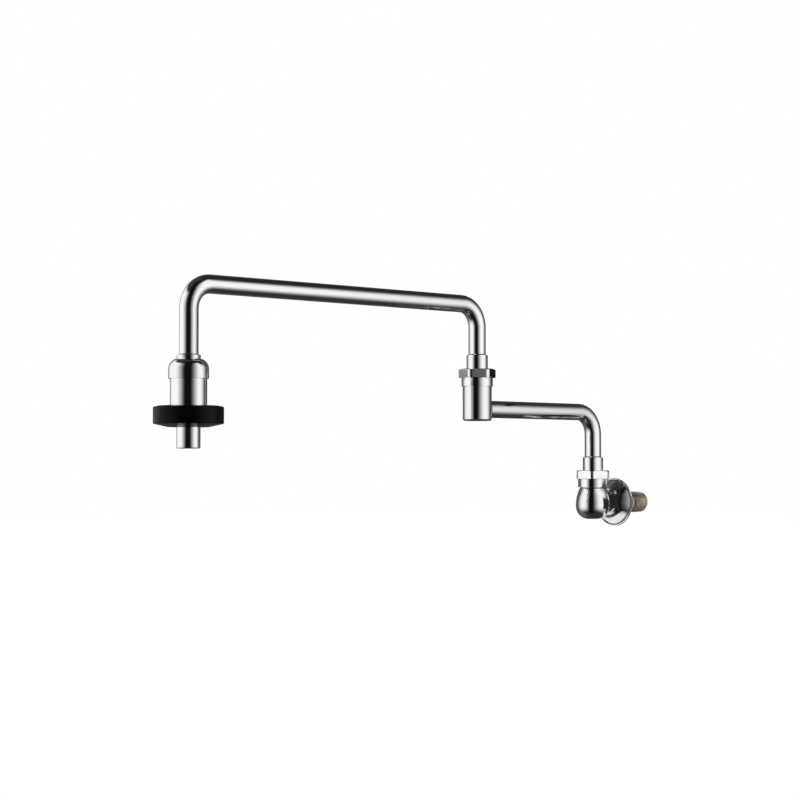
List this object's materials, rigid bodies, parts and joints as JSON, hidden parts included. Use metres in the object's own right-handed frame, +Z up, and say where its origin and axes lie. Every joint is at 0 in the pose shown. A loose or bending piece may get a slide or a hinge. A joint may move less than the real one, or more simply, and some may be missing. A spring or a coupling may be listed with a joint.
{
  "type": "wall-mounted double-jointed faucet",
  "caption": "Wall-mounted chrome faucet with a double-jointed swinging spout and a remote valve turned by a round black dial at the outlet.",
  "frame": {"origin": "on the inlet nipple's axis, in the plane of the wall that the flange lies against", "axes": "+Z up, +Y into the wall along the nipple, -Y out along the arms, X from side to side"},
  "size_m": [0.0606, 0.6243, 0.2258],
  "materials": {
    "chrome": "bright chrome plate on brass",
    "cast_brass": "bare threaded brass",
    "turned_brass": "turned brass",
    "steel": "turned stainless steel",
    "seal_rubber": "moulded rubber",
    "slip_plastic": "white slip plastic",
    "black_phenolic": "moulded black phenolic, satin"
  },
  "bodies": {
    "wall_base": {"inlet_nipple": "cast_brass", "wall_flange": "chrome", "elbow_body": "chrome", "base_nut": "chrome", "base_lower_washer": "slip_plastic", "base_upper_washer": "slip_plastic"},
    "first_arm": {"base_ferrule": "chrome", "base_o_rings": "seal_rubber", "first_arm_tube": "chrome", "middle_body": "chrome", "middle_nut": "chrome", "middle_lower_washer": "slip_plastic", "middle_upper_washer": "slip_plastic"},
    "second_arm": {"middle_ferrule": "chrome", "middle_o_rings": "seal_rubber", "second_arm_tube": "chrome", "valve_ferrule": "chrome", "valve_cap": "chrome", "cap_gasket": "seal_rubber", "valve_body": "chrome", "valve_seat": "turned_brass"},
    "shut_off_disc": {"washer_holder": "turned_brass", "seat_washer": "seal_rubber", "washer_screw": "steel"},
    "dial": {"spindle": "turned_brass", "spindle_o_ring": "seal_rubber", "dial_insert": "turned_brass", "control_dial": "black_phenolic", "nozzle_gasket": "seal_rubber", "outlet_nozzle": "chrome"}
  },
  "joints": [
    {"name": "base_swivel", "type": "hinge", "parent": "wall_base", "child": "first_arm", "pos_m": [0, -0.033, 0.0264], "axis": [0, 0, 1], "range_deg": [-90, 90]},
    {"name": "middle_swivel", "type": "hinge", "parent": "first_arm", "child": "second_arm", "pos_m": [0, -0.201, 0.1244], "axis": [0, 0, 1], "continuous": true},
    {"name": "disc_lift", "type": "slide", "parent": "second_arm", "child": "shut_off_disc", "axis": [0, 0, -1], "range_m": [0, 0.0025]},
    {"name": "dial_turn", "type": "hinge", "parent": "shut_off_disc", "child": "dial", "pos_m": [0, -0.552, 0.0793], "axis": [0, 0, -1], "range_deg": [0, 180]}
  ],
  "couplings": [
    {"joint": "dial_turn", "follows": "disc_lift", "rad_per_m": 1256.6}
  ]
}
